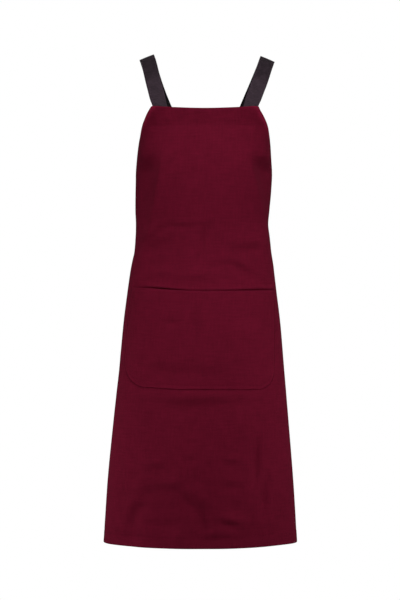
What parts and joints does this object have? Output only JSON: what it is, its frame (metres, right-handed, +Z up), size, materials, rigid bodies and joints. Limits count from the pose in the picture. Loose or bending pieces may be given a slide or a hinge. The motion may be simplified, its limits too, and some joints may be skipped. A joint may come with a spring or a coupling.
{
  "type": "cross-back bib apron",
  "caption": "Worn-shape cotton bib apron with straps that cross on the back, a wrap-round skirt and a wide front patch pocket.",
  "frame": {"origin": "midway between the crests of the two shoulder straps, where the wearer's shoulders hold the apron up", "axes": "+Z up, the bib and the pocket face -Y, the crossed straps are on the +Y side, and +X is the right-hand side when one looks at the front"},
  "size_m": [0.405, 0.2911, 1.017],
  "materials": {
    "apron_panel": "matte burgundy cotton twill",
    "pocket": "matte burgundy cotton twill",
    "strap_left": "matte charcoal plum cotton tape",
    "strap_right": "matte charcoal plum cotton tape"
  },
  "bodies": {
    "root": {"apron_panel": "apron_panel", "pocket": "pocket", "strap_left": "strap_left", "strap_right": "strap_right"}
  },
  "joints": []
}
